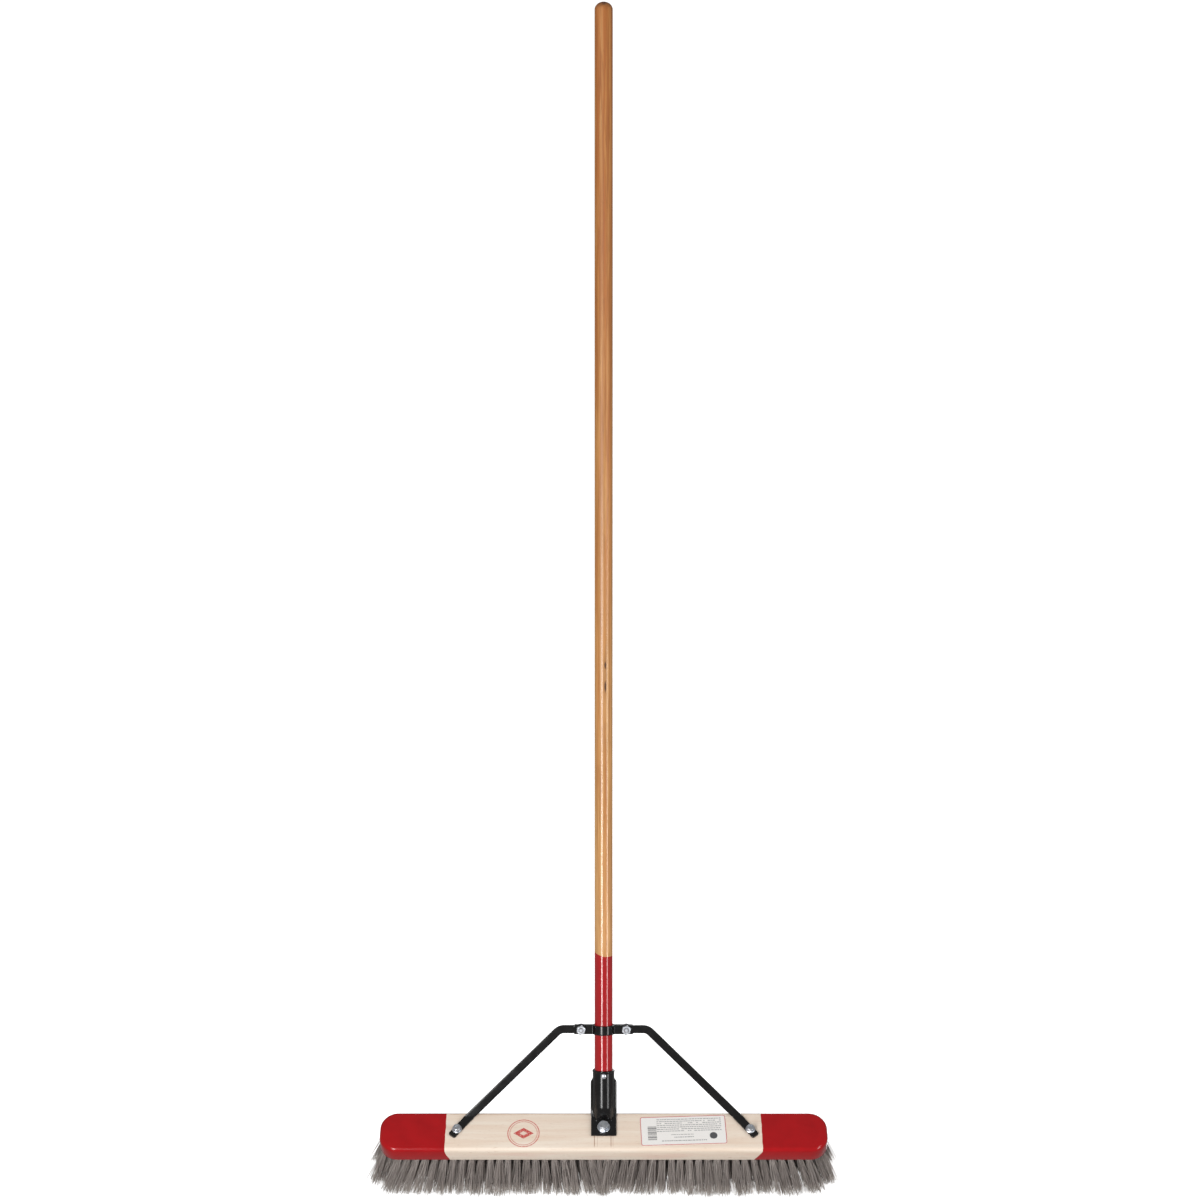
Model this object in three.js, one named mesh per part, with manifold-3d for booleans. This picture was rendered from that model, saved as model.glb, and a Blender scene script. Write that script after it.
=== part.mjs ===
// A 24 inch hardwood push broom with a pressed-steel socket and a bolted steel brace.
//
// Millimetres, +Z up, +X along the block. The origin is in the middle of the sweeping face, so the
// tips of the bristles lie in the plane z = 0 and the handle rises over the back edge of the block.
// What sits on the handle is built in the stem's own frame: its +Z runs up the handle from the point
// where the handle's axis meets the top of the block, and its -Y faces the front of the broom.
import * as THREE from "three";
import { ConvexGeometry } from "three/addons/geometries/ConvexGeometry.js";
import { mergeVertices } from "three/addons/utils/BufferGeometryUtils.js";
import Module from "manifold-3d";

const wasm = await Module();
wasm.setup();

// ---------------------------------------------------------------- driving dimensions
const INCH = 25.4;
const FIT = 0.3; // air between two pieces that touch

const TRIM = 76; // length of bristle below the block
const BLOCK = { length: 24 * INCH, width: 61, height: 24, corner: 24, roundover: 5, chamfer: 1.5 };
const TOP = TRIM + BLOCK.height; // level of the block's upper face

const TUFT = { pitch: 12.3, root: 2.1, tipX: 8.7, tipY: 7.8, sunk: 11, straight: 2 }; // half widths
const TUFT_HOLE = { radius: 3.8, sides: 6 };
const ROWS = [-2, -1, 0, 1, 2]; // rows of tufts from front to back
const ROW_STEP = { root: 12, tip: 16.5 }; // the rows spread apart from their holes to their tips
const HOLE_MARGIN = 6.5; // least distance from a tuft hole's middle to the block's outline
const FAN = { reach: 30, at: 284, power: 3, hold: 0.3, edge: 18 }; // outward lean of the tips near the ends
const GATHER = { reach: 12.6, start: 10, end: 65 }; // lean of the tips towards the socket bolt

const LEAN = THREE.MathUtils.degToRad(42); // the handle's tilt from upright
const STEM_FOOT = new THREE.Vector3(0, 20, TOP); // where the handle's axis meets the block's top
const HANDLE = { radius: 12.5, from: 16, length: 1511, dome: 10.5, chamfer: 1 };

const SHEET = 3; // thickness of the socket's and the brace's steel
const SOCKET = { halfWidth: 17.2, front: -9, back: 24, bore: HANDLE.radius + FIT, tube: 15 };
const SOCKET_RIM = 67; // top of the socket, measured up the handle
const SOCKET_SHOULDER = 54; // where the side wings stop below the collar
const RAMP = { halfWidth: 11, front: 12.6, top: 34 }; // the slope from the flange up to the tube

const SOCKET_BOLT = { y: 3, radius: 3.95, hex: 12.7, head: 5.3, nut: 6.4, washer: 8.75, sheet: 1.5 };
const COUNTERBORE = { radius: 10, depth: 10 }; // room for the nut and washer under the block
const HANDLE_SCREW = { at: 60.6, radius: 2, head: 3.75, dome: 2.4, length: 18 };

const CLAMP = { at: 122, width: 12.5, sheet: 2.2, halfSpan: 41, bolt: 31 };
const CLAMP_BOLT = { radius: 3.1, hex: 11.1, nut: 5.5, head: 7, dome: 3.5, proud: 2 };

const ARM = { width: 11, inner: 18, elbow: 60, bend: 15, knee: 183.2, corner: 2.5 };
const FOOT_END = new THREE.Vector2(206.8, -9.4); // tip of the foot on top of the block
const FOOT_SCREW = { back: 12, radius: 2.4, hex: 9.5, head: 4.2, flange: 6.75, rim: 1.2, length: 15 };

const LABEL = { width: 117, height: 46, corner: 3, sheet: 0.3, x: 108.5, y: 0.5, turn: 2 };

// ---------------------------------------------------------------- materials
const steelBlack = () => new THREE.MeshStandardMaterial({ color: 0x292828, roughness: 0.38, metalness: 0.4 });
const zinc = () => new THREE.MeshStandardMaterial({ color: 0xc9ccd0, roughness: 0.3, metalness: 1 });
const handleWood = () => new THREE.MeshStandardMaterial({ color: 0xbd8a5a, roughness: 0.3, metalness: 0 });
const blockWood = () => new THREE.MeshStandardMaterial({ color: 0xeedccb, roughness: 0.55, metalness: 0 });
const paper = () => new THREE.MeshStandardMaterial({ color: 0xf2f0ec, roughness: 0.5, metalness: 0 });
const bristle = () => new THREE.MeshStandardMaterial({ color: 0x69605d, roughness: 0.7, metalness: 0 });

// ---------------------------------------------------------------- solids and surfaces
function toSolid(geometry) {
  const bare = geometry.clone();
  bare.deleteAttribute("normal");
  bare.deleteAttribute("uv");
  const merged = mergeVertices(bare, 1e-4);
  const vertProperties = merged.attributes.position.array;
  const triVerts = Uint32Array.from(merged.index.array);
  return new wasm.Manifold(new wasm.Mesh({ numProp: 3, vertProperties, triVerts }));
}

function toSurface(solid) {
  const { vertProperties, triVerts } = solid.getMesh();
  const geometry = new THREE.BufferGeometry();
  geometry.setAttribute("position", new THREE.BufferAttribute(vertProperties, 3));
  geometry.setIndex(new THREE.BufferAttribute(triVerts, 1));
  const faceted = geometry.toNonIndexed();
  faceted.computeVertexNormals();
  return faceted;
}

const joined = (...geometries) => toSurface(geometries.map(toSolid).reduce((a, b) => a.add(b)));
const common = (a, b) => toSurface(toSolid(a).intersect(toSolid(b)));

function without(body, ...tools) {
  return toSurface(tools.map(toSolid).reduce((rest, tool) => rest.subtract(tool), toSolid(body)));
}

// A closed skin over rings of points; each ring runs counter-clockwise about the way the rings go.
function loft(rings) {
  const count = rings[0].length;
  const points = rings.flat();
  const faces = [];
  for (let r = 0; r + 1 < rings.length; r++) {
    for (let i = 0; i < count; i++) {
      const a = r * count + i;
      const b = r * count + ((i + 1) % count);
      faces.push(a, b, b + count, a, b + count, a + count);
    }
  }
  const last = points.length - count;
  for (let i = 1; i + 1 < count; i++) {
    faces.push(0, i + 1, i, last, last + i, last + i + 1);
  }
  const geometry = new THREE.BufferGeometry().setFromPoints(points);
  geometry.setIndex(faces);
  return geometry;
}

// A body turned about Z from a profile of [radius, z] pairs.
function turned(profile, segments = 16) {
  const outline = profile.map(([radius, z]) => new THREE.Vector2(radius, z));
  return new THREE.LatheGeometry(outline, segments).rotateX(Math.PI / 2);
}

const rod = (radius, from, to, segments = 12) =>
  turned([[0, from], [radius, from], [radius, to], [0, to]], segments);
const ringOf = (inner, outer, from, to, segments = 18) =>
  without(rod(outer, from, to, segments), rod(inner, from - 1, to + 1, segments));

// A low dome that rises from z = 0.
function dome(radius, height, steps = 3) {
  const profile = [[0, 0]];
  for (let i = 0; i < steps; i++) {
    const angle = (i / steps) * (Math.PI / 2);
    profile.push([radius * Math.cos(angle), height * Math.sin(angle)]);
  }
  profile.push([0, height]);
  return turned(profile);
}

// A hexagon across the given flats, with its upper corners chamfered, from z = 0 up.
function hexagon(acrossFlats, height) {
  const corner = acrossFlats / Math.sqrt(3);
  const prism = new THREE.CylinderGeometry(corner, corner, height, 6).rotateX(Math.PI / 2);
  prism.translate(0, 0, height / 2);
  const flat = acrossFlats / 2;
  const wide = corner + 1;
  const rimHeight = height - (corner - flat) * 0.8;
  const crown = turned([[0, -1], [wide, -1], [wide, rimHeight], [flat * 0.95, height], [0, height]], 18);
  return common(prism, crown);
}

function slab(shape, from, to, curveSegments = 8) {
  const geometry = new THREE.ExtrudeGeometry(shape, { depth: to - from, bevelEnabled: false, curveSegments });
  return geometry.translate(0, 0, from);
}

function roundedRectangle(halfX, halfY, radius, steps = 8) {
  const corners = [[1, 1], [-1, 1], [-1, -1], [1, -1]];
  return corners.flatMap(([sx, sy], quarter) =>
    Array.from({ length: steps + 1 }, (_, i) => {
      const angle = (quarter + i / steps) * (Math.PI / 2);
      const x = sx * (halfX - radius) + radius * Math.cos(angle);
      const y = sy * (halfY - radius) + radius * Math.sin(angle);
      return new THREE.Vector2(x, y);
    }),
  );
}

// ---------------------------------------------------------------- the stem's frame
const stem = new THREE.Group();
stem.position.copy(STEM_FOOT);
stem.rotation.x = -LEAN;
stem.updateMatrix();

const onStem = (geometry) => geometry.applyMatrix4(stem.matrix);
const stemPoint = (x, y, z) => new THREE.Vector3(x, y, z).applyMatrix4(stem.matrix);
const facingFront = (geometry) => geometry.rotateX(Math.PI / 2); // what pointed up now points to the front

// ---------------------------------------------------------------- bristles
// How far a tuft's tip lies outward of its root, along the block.
function spread(x) {
  const out = Math.abs(x);
  const share = out / FAN.at;
  const fanned = (FAN.reach * share ** FAN.power) / (1 + FAN.hold * share ** FAN.edge);
  const rise = 1 - Math.exp(-((out / GATHER.start) ** 2));
  const decay = Math.exp(-((out / GATHER.end) ** 4));
  return Math.sign(x) * (fanned - GATHER.reach * rise * decay);
}

// The middle of a tuft at a level: it runs straight from its hole to its spread tip.
function tuftCentre(x, row, z) {
  const fall = (TRIM - z) / TRIM;
  const rowStep = ROW_STEP.root + (ROW_STEP.tip - ROW_STEP.root) * fall;
  return new THREE.Vector3(x + spread(x) * fall, row * rowStep, z);
}

// Neighbours press a tuft into a rectangle, which widens from its root to its tip.
function tuft(x, row) {
  const ring = (z, halfX, halfY) => {
    const centre = tuftCentre(x, row, z);
    const corners = [[1, 1], [-1, 1], [-1, -1], [1, -1]];
    return corners.map(([sx, sy]) => new THREE.Vector3(sx * halfX, sy * halfY, 0).add(centre));
  };
  return loft([
    ring(0, TUFT.tipX, TUFT.tipY),
    ring(TRIM - TUFT.straight, TUFT.root, TUFT.root),
    ring(TRIM + TUFT.sunk, TUFT.root, TUFT.root),
  ]);
}

function tuftHole(x, row) {
  const { radius, sides } = TUFT_HOLE;
  const ring = (z) =>
    Array.from({ length: sides }, (_, i) => {
      const angle = (i / sides) * 2 * Math.PI;
      const arm = new THREE.Vector3(radius * Math.cos(angle), radius * Math.sin(angle), 0);
      return arm.add(tuftCentre(x, row, z));
    });
  return loft([ring(TRIM - 1), ring(TRIM + TUFT.sunk + FIT)]);
}

// How far out a row's holes may go before they come too near the block's rounded corners.
function rowEnd(row) {
  const cornerX = BLOCK.length / 2 - BLOCK.corner;
  const cornerY = BLOCK.width / 2 - BLOCK.corner;
  const beyond = Math.max(0, Math.abs(row) * ROW_STEP.root - cornerY);
  return cornerX + Math.sqrt(Math.max(0, (BLOCK.corner - HOLE_MARGIN) ** 2 - beyond ** 2));
}

// The rows are staggered by half a pitch, and no hole is drilled where the socket bolt's nut sits.
function tuftPlaces(row) {
  const offset = row % 2 === 0 ? TUFT.pitch / 2 : 0;
  const places = [];
  for (let x = offset; x <= rowEnd(row); x += TUFT.pitch) {
    const nearBolt = Math.hypot(x, row * ROW_STEP.root) < COUNTERBORE.radius + TUFT_HOLE.radius - 1;
    if (nearBolt) continue;
    places.push(x);
    if (x > 0) places.push(-x);
  }
  return places;
}

const bristleRow = (row) => joined(...tuftPlaces(row).map((x) => tuft(x, row)));

// ---------------------------------------------------------------- block and label
function blockRing(inset, z) {
  const outline = roundedRectangle(BLOCK.length / 2 - inset, BLOCK.width / 2 - inset, BLOCK.corner - inset);
  return outline.map((p) => new THREE.Vector3(p.x, p.y, z));
}

function roundoverRings(steps = 5) {
  return Array.from({ length: steps + 1 }, (_, i) => {
    const angle = (i / steps) * (Math.PI / 2);
    const inset = BLOCK.roundover * (1 - Math.cos(angle));
    return blockRing(inset, TOP - BLOCK.roundover * (1 - Math.sin(angle)));
  });
}

function broomBlock() {
  const chamferRings = [blockRing(BLOCK.chamfer, TRIM), blockRing(0, TRIM + BLOCK.chamfer)];
  const body = loft([...chamferRings, ...roundoverRings()]);
  const holes = ROWS.flatMap((row) => tuftPlaces(row).map((x) => tuftHole(x, row)));
  const boltHole = rod(SOCKET_BOLT.radius + FIT, TRIM - 1, TOP + 1).translate(0, SOCKET_BOLT.y, 0);
  const nutSeat = rod(COUNTERBORE.radius, TRIM - 1, TRIM + COUNTERBORE.depth).translate(0, SOCKET_BOLT.y, 0);
  const pilots = [-1, 1].map((side) => {
    const depth = FOOT_SCREW.length - SHEET;
    const place = footScrewPlace();
    return rod(FOOT_SCREW.radius + FIT, TOP - depth, TOP + 1).translate(side * place.x, place.y, 0);
  });
  return without(body, ...holes, boltHole, nutSeat, ...pilots);
}

function labelSheet() {
  const outline = new THREE.Shape(roundedRectangle(LABEL.width / 2, LABEL.height / 2, LABEL.corner, 3));
  return slab(outline, 0, LABEL.sheet);
}

// ---------------------------------------------------------------- socket
function flange() {
  const { halfWidth, front, back } = SOCKET;
  const plate = new THREE.BoxGeometry(2 * halfWidth, back - front, SHEET);
  return plate.translate(0, (front + back) / 2, TOP + FIT + SHEET / 2);
}

// The flat wings at both sides of the tube, in the plane of the handle's axis.
function wings() {
  const halfTop = SOCKET.tube;
  const outline = new THREE.Shape();
  outline.moveTo(-SOCKET.halfWidth, SHEET);
  outline.lineTo(SOCKET.halfWidth, SHEET);
  outline.lineTo(SOCKET.halfWidth, SOCKET_SHOULDER - 3);
  outline.lineTo(halfTop, SOCKET_SHOULDER + 1);
  outline.lineTo(-halfTop, SOCKET_SHOULDER + 1);
  outline.lineTo(-SOCKET.halfWidth, SOCKET_SHOULDER - 3);
  outline.closePath();
  return onStem(facingFront(slab(outline, -SHEET / 2, SHEET / 2)));
}

function ramp() {
  const points = [];
  for (const x of [-RAMP.halfWidth, RAMP.halfWidth]) {
    for (const y of [RAMP.front, SOCKET.back - 1]) points.push(new THREE.Vector3(x, y, TOP + FIT + 1));
  }
  for (const height of [HANDLE.from, RAMP.top]) {
    for (let degrees = 10; degrees <= 170; degrees += 20) {
      const angle = THREE.MathUtils.degToRad(degrees);
      const radius = height === RAMP.top ? SOCKET.tube - 1 : SOCKET.tube - 0.5;
      points.push(stemPoint(radius * Math.cos(angle), -radius * Math.sin(angle), height));
    }
  }
  return new ConvexGeometry(points);
}

function socket() {
  const tube = onStem(rod(SOCKET.tube, HANDLE.from, SOCKET_RIM, 28));
  const bore = onStem(rod(SOCKET.bore, HANDLE.from - FIT, SOCKET_RIM + 1, 28));
  const boltHole = rod(SOCKET_BOLT.radius + FIT, TOP - 1, TOP + 30).translate(0, SOCKET_BOLT.y, 0);
  const screwHole = facingFront(rod(HANDLE_SCREW.radius + FIT, 0, 2 * SOCKET.tube));
  screwHole.translate(0, 0, HANDLE_SCREW.at);
  return without(joined(flange(), wings(), tube, ramp()), bore, boltHole, onStem(screwHole));
}

// ---------------------------------------------------------------- handle
function handle() {
  const { radius, from, length, dome: rise, chamfer } = HANDLE;
  const shoulder = from + length - rise;
  const profile = [[0, from], [radius - chamfer, from], [radius, from + chamfer]];
  const steps = 5;
  for (let i = 0; i < steps; i++) {
    const angle = (i / steps) * (Math.PI / 2);
    profile.push([radius * Math.cos(angle), shoulder + rise * Math.sin(angle)]);
  }
  profile.push([0, from + length]);
  const depth = SOCKET.tube - HANDLE_SCREW.length - 1;
  const pilot = facingFront(rod(HANDLE_SCREW.radius + FIT, depth, radius + 1));
  return without(turned(profile, 28), pilot.translate(0, 0, HANDLE_SCREW.at));
}

// ---------------------------------------------------------------- brace
// A point on the middle of the arm's bar, its sideways direction and the way its upper face looks.
const station = (centre, side, normal) => ({ centre, side, normal });

function barRing({ centre, side, normal }) {
  const corner = (s, n) => centre.clone().addScaledVector(side, s).addScaledVector(normal, (n * SHEET) / 2);
  return [corner(-1, -1), corner(1, -1), corner(1, 1), corner(-1, 1)];
}

// Outline of the level stretch, the elbow and the start of the slope, in the plane of the handle's axis.
function armStations() {
  const half = ARM.width / 2;
  const up = stemPoint(0, -1, 0).sub(STEM_FOOT); // the face that looks to the front
  const kneeHeight = (FIT + SHEET / 2) / Math.cos(LEAN);
  const slope = Math.atan2(CLAMP.at - kneeHeight, ARM.knee - ARM.elbow);
  const tangent = ARM.bend * Math.tan(slope / 2);
  const at = (x, height, angle) => {
    const sideways = stemPoint(Math.sin(angle), 0, Math.cos(angle)).sub(STEM_FOOT);
    return station(stemPoint(x, 0, height), sideways.multiplyScalar(half), up);
  };
  const stations = [at(ARM.inner, CLAMP.at, 0)];
  const steps = 6;
  for (let i = 0; i <= steps; i++) {
    const angle = (i / steps) * slope;
    const x = ARM.elbow - tangent + ARM.bend * Math.sin(angle);
    stations.push(at(x, CLAMP.at - ARM.bend * (1 - Math.cos(angle)), angle));
  }
  // The knee is folded along a line across the block, halfway between the slope's face and the foot's.
  const knee = stemPoint(ARM.knee, 0, kneeHeight);
  const bisector = up.clone().add(new THREE.Vector3(0, 0, 1)).normalize();
  bisector.multiplyScalar(1 / Math.cos((Math.PI / 2 - LEAN) / 2));
  stations.push(station(knee, new THREE.Vector3(half / Math.sin(slope), 0, 0), bisector));
  return stations;
}

function footDirection() {
  const knee = stemPoint(ARM.knee, 0, (FIT + SHEET / 2) / Math.cos(LEAN));
  return new THREE.Vector2(FOOT_END.x - knee.x, FOOT_END.y - knee.y).normalize();
}

const footScrewPlace = () => FOOT_END.clone().addScaledVector(footDirection(), -FOOT_SCREW.back);

// The foot lies flat on the block. Its square end has rounded corners.
function footStations() {
  const along = footDirection();
  const normal = new THREE.Vector3(0, 0, 1);
  const steps = 6;
  return Array.from({ length: steps }, (_, i) => {
    const angle = (i / steps) * (Math.PI / 2);
    const centre = FOOT_END.clone().addScaledVector(along, ARM.corner * (Math.sin(angle) - 1));
    const reach = ARM.width / 2 - ARM.corner * (1 - Math.cos(angle));
    const side = new THREE.Vector3(-along.y * reach, along.x * reach, 0);
    return station(new THREE.Vector3(centre.x, centre.y, TOP + FIT + SHEET / 2), side, normal);
  });
}

function braceArm() {
  const bar = loft([...armStations(), ...footStations()].map(barRing));
  const clampHole = rod(CLAMP_BOLT.radius + FIT, -SHEET, SHEET);
  facingFront(clampHole).translate(CLAMP.bolt, 0, CLAMP.at);
  const place = footScrewPlace();
  const screwHole = rod(FOOT_SCREW.radius + FIT, TOP, TOP + 2 * SHEET).translate(place.x, place.y, 0);
  return without(bar, onStem(clampHole), screwHole);
}

// ---------------------------------------------------------------- clamp
// A strap that hugs the front half of the handle, with a flat ear at each side.
function clampStrap() {
  const inner = SOCKET.bore;
  const outer = inner + CLAMP.sheet;
  const low = SHEET / 2 + FIT;
  const high = low + CLAMP.sheet;
  const outline = new THREE.Shape();
  outline.moveTo(CLAMP.halfSpan, low);
  outline.lineTo(CLAMP.halfSpan, high);
  const outerTurn = Math.asin(high / outer);
  outline.absarc(0, 0, outer, outerTurn, Math.PI - outerTurn, false);
  outline.lineTo(-CLAMP.halfSpan, high);
  outline.lineTo(-CLAMP.halfSpan, low);
  const innerTurn = Math.asin(low / inner);
  outline.absarc(0, 0, inner, Math.PI - innerTurn, innerTurn, true);
  outline.closePath();
  const half = CLAMP.width / 2;
  const strap = slab(outline, -half, half, 12).rotateX(Math.PI / 2); // the ears lie level, the hug rises
  const plan = new THREE.Shape(roundedRectangle(CLAMP.halfSpan, half, half - 0.4, 5));
  const holes = [-1, 1].map((side) => {
    return rod(CLAMP_BOLT.radius + FIT, 0, 2 * outer).translate(side * CLAMP.bolt, 0, 0);
  });
  return without(common(strap, slab(plan, 0, 2 * outer)), ...holes);
}

function clampBolt() {
  const seat = SHEET / 2 + CLAMP.sheet + 2 * FIT;
  const top = seat + CLAMP_BOLT.nut + CLAMP_BOLT.proud;
  const head = dome(CLAMP_BOLT.head, CLAMP_BOLT.dome).rotateX(Math.PI).translate(0, 0, -seat);
  return joined(head, rod(CLAMP_BOLT.radius, -seat - 1, top));
}

function clampNut() {
  const nut = without(hexagon(CLAMP_BOLT.hex, CLAMP_BOLT.nut), rod(CLAMP_BOLT.radius + FIT, -1, 10));
  return nut.translate(0, 0, SHEET / 2 + CLAMP.sheet + 2 * FIT);
}

// ---------------------------------------------------------------- other fasteners
const BOLT_SEAT = TOP + SHEET + 2 * FIT; // underside of the socket bolt's washer
const NUT_SEAT = TRIM + COUNTERBORE.depth - FIT; // upper face of the washer under the block

function socketBolt() {
  const underHead = BOLT_SEAT + SOCKET_BOLT.sheet + FIT;
  const head = hexagon(SOCKET_BOLT.hex, SOCKET_BOLT.head).translate(0, 0, underHead);
  return joined(head, rod(SOCKET_BOLT.radius, TRIM + 1, underHead + 1));
}

function blockNut() {
  const top = NUT_SEAT - SOCKET_BOLT.sheet - FIT;
  const body = hexagon(SOCKET_BOLT.hex, SOCKET_BOLT.nut).rotateX(Math.PI).translate(0, 0, top);
  return without(body, rod(SOCKET_BOLT.radius + FIT, TRIM, TOP));
}

const flatWasher = (from) =>
  ringOf(SOCKET_BOLT.radius + FIT, SOCKET_BOLT.washer, from, from + SOCKET_BOLT.sheet);

const pointedShank = (radius, tip, top) => turned([[0, tip], [radius, tip + 3], [radius, top], [0, top]], 12);

function handleScrew() {
  const seat = SOCKET.tube + FIT;
  const tip = seat - HANDLE_SCREW.length;
  const head = dome(HANDLE_SCREW.head, HANDLE_SCREW.dome).translate(0, 0, seat);
  return joined(head, pointedShank(HANDLE_SCREW.radius, tip, seat + 1));
}

function footScrew() {
  const { radius, hex, head, flange: rimRadius, rim, length } = FOOT_SCREW;
  const seat = TOP + SHEET + 2 * FIT;
  const tip = seat - length;
  const crown = hexagon(hex, head).translate(0, 0, seat + rim - 0.1);
  return joined(crown, rod(rimRadius, seat, seat + rim, 18), pointedShank(radius, tip, seat + 1));
}

// ---------------------------------------------------------------- assembly
const broom = new THREE.Group();
broom.add(stem);

function addMesh(parent, name, geometry, material) {
  const mesh = new THREE.Mesh(geometry, material);
  mesh.name = name;
  parent.add(mesh);
  return mesh;
}

addMesh(stem, "handle", handle(), handleWood());
addMesh(stem, "handle_screw", facingFront(handleScrew()), zinc()).position.z = HANDLE_SCREW.at;

addMesh(broom, "socket", socket(), steelBlack());
const boltedParts = [
  ["socket_bolt", socketBolt()],
  ["socket_bolt_washer", flatWasher(BOLT_SEAT)],
  ["block_nut", blockNut()],
  ["block_nut_washer", flatWasher(NUT_SEAT - SOCKET_BOLT.sheet)],
];
for (const [name, geometry] of boltedParts) {
  addMesh(broom, name, geometry, zinc()).position.y = SOCKET_BOLT.y;
}

const clamp = new THREE.Group(); // its +Z faces the front of the broom
clamp.position.z = CLAMP.at;
clamp.rotation.x = Math.PI / 2;
stem.add(clamp);
addMesh(clamp, "clamp_front_strap", clampStrap(), steelBlack());
addMesh(clamp, "clamp_back_strap", clampStrap(), steelBlack()).rotation.y = Math.PI;

const SIDES = { left: -1, right: 1 };
for (const [side, sign] of Object.entries(SIDES)) {
  addMesh(broom, `brace_arm_${side}`, braceArm(), steelBlack()).scale.x = sign;
  addMesh(clamp, `clamp_bolt_${side}`, clampBolt(), zinc()).position.x = sign * CLAMP.bolt;
  addMesh(clamp, `clamp_nut_${side}`, clampNut(), zinc()).position.x = sign * CLAMP.bolt;
  const place = footScrewPlace();
  addMesh(broom, `brace_screw_${side}`, footScrew(), zinc()).position.set(sign * place.x, place.y, 0);
}

addMesh(broom, "broom_block", broomBlock(), blockWood());
const label = addMesh(broom, "label", labelSheet(), paper());
label.position.set(LABEL.x, LABEL.y, TOP + 0.1);
label.rotation.z = THREE.MathUtils.degToRad(LABEL.turn);

ROWS.forEach((row, i) => addMesh(broom, `bristle_row_${i + 1}`, bristleRow(row), bristle()));

export default broom;
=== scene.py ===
import math
import random

import bmesh
import bpy
import numpy as np
from mathutils import Matrix, Vector


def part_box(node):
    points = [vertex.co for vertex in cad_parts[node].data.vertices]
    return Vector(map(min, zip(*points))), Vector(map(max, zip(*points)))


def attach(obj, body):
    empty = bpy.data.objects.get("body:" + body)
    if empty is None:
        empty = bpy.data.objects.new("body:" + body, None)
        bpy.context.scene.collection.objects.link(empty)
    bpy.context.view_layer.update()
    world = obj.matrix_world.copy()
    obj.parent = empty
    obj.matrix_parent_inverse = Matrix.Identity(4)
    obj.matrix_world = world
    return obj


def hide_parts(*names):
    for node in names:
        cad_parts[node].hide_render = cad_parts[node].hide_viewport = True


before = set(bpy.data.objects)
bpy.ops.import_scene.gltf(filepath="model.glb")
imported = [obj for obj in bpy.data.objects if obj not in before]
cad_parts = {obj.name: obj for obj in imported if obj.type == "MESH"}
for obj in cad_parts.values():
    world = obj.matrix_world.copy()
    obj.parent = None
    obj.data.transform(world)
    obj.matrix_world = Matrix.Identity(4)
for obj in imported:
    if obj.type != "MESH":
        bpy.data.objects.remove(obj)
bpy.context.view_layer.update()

# A 24 inch push broom. Metres, +Z up, +X along the block, +Y to the back, the way the handle leans.
# Pieces that sit on the handle are built in the stem's own frame: its +Z runs up the handle from the
# point where the handle's axis meets the top of the block, and its -Y faces the front of the broom.

MM = 0.001
BLOCK_LOW, BLOCK_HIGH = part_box("broom_block")
TOP = BLOCK_HIGH.z
UNDERSIDE = BLOCK_LOW.z
BLOCK_CORNER = 24 * MM
FIT = 0.3 * MM  # air between two pieces that touch

LEAN = math.radians(42)
STEM_FOOT = Vector((0, 20 * MM, TOP))
STEM = Matrix.Translation(STEM_FOOT) @ Matrix.Rotation(-LEAN, 4, "X")
UP_HANDLE = STEM.to_3x3() @ Vector((0, 0, 1))
TO_FRONT = STEM.to_3x3() @ Vector((0, -1, 0))
FACING_FRONT = Matrix.Rotation(math.pi / 2, 4, "X")  # lays a fastener's +Z along the stem's -Y
UPSIDE_DOWN = Matrix.Rotation(math.pi, 4, "X")

HANDLE_RADIUS = 12.5 * MM
HANDLE_FROM = 16 * MM
HANDLE_TO = 1527 * MM
HANDLE_DOME = 10.5 * MM
HANDLE_PAINT = 227 * MM  # where the dip's edge crosses the handle's axis

SHEET = 3 * MM  # the socket's and the brace's steel
SOCKET_RIM = 67 * MM
SOCKET_SHOULDER = 54 * MM
SOCKET_RADIUS = 15 * MM
SOCKET_BORE = HANDLE_RADIUS + FIT
SOCKET_BOLT_Y = 3 * MM
FLANGE_BACK = 24 * MM

CLAMP_AT = 122 * MM
CLAMP_WIDTH = 12.5 * MM
CLAMP_SHEET = 2.2 * MM
CLAMP_SPAN = 41 * MM
CLAMP_BOLT_X = 31 * MM
EAR_CORNER = 2.5 * MM

ARM_WIDTH = 11 * MM
ARM_INNER = 18 * MM  # the bar's end beside the handle
ARM_ELBOW = 60 * MM  # where it turns down from the clamp
ARM_BEND = 15 * MM
ARM_KNEE = 183.2 * MM  # where it meets the block
ARM_CORNER = 2.5 * MM
FOOT_END = Vector((206.8 * MM, -9.4 * MM))

COUNTERBORE = 10 * MM  # its radius and its depth, under the block
PAINT_SPAN = 215 * MM  # the block's painted ends start this far from its middle
INK_MARK = Vector((-109 * MM, -4 * MM))  # its middle, on the block

LABEL_WIDTH = 117 * MM
LABEL_HEIGHT = 46 * MM
LABEL_SHEET = 0.25 * MM
LABEL_CORNER = 3 * MM
LABEL_AT = (108.5 * MM, 0.5 * MM, TOP + 0.1 * MM)
LABEL_TURN = math.radians(2)

CAMERA_DISTANCE = 3.0
CAMERA_LENS = 65.8
CAMERA_UP_HANDLE = 709 * MM  # the point it is aimed at, from the foot of the stem
CAMERA_LEFT = 5 * MM
WORLD_LIGHT = 0.3
LIGHTS_UP_HANDLE = 0.3  # the softboxes' middle, from the foot of the stem
SOFTBOXES = {  # degrees round the handle from the camera's side, distance, (width, height), watts
    "left_softbox": (-22, 2.6, (0.55, 2.3), 52),
    "right_softbox": (46, 2.6, (0.42, 2.3), 23),
    "back_softbox": (165, 2.8, (1.4, 2.3), 24),
}

QUARTERS = ((1, 1), (-1, 1), (-1, -1), (1, -1))  # the corners of a rectangle, anticlockwise

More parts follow.
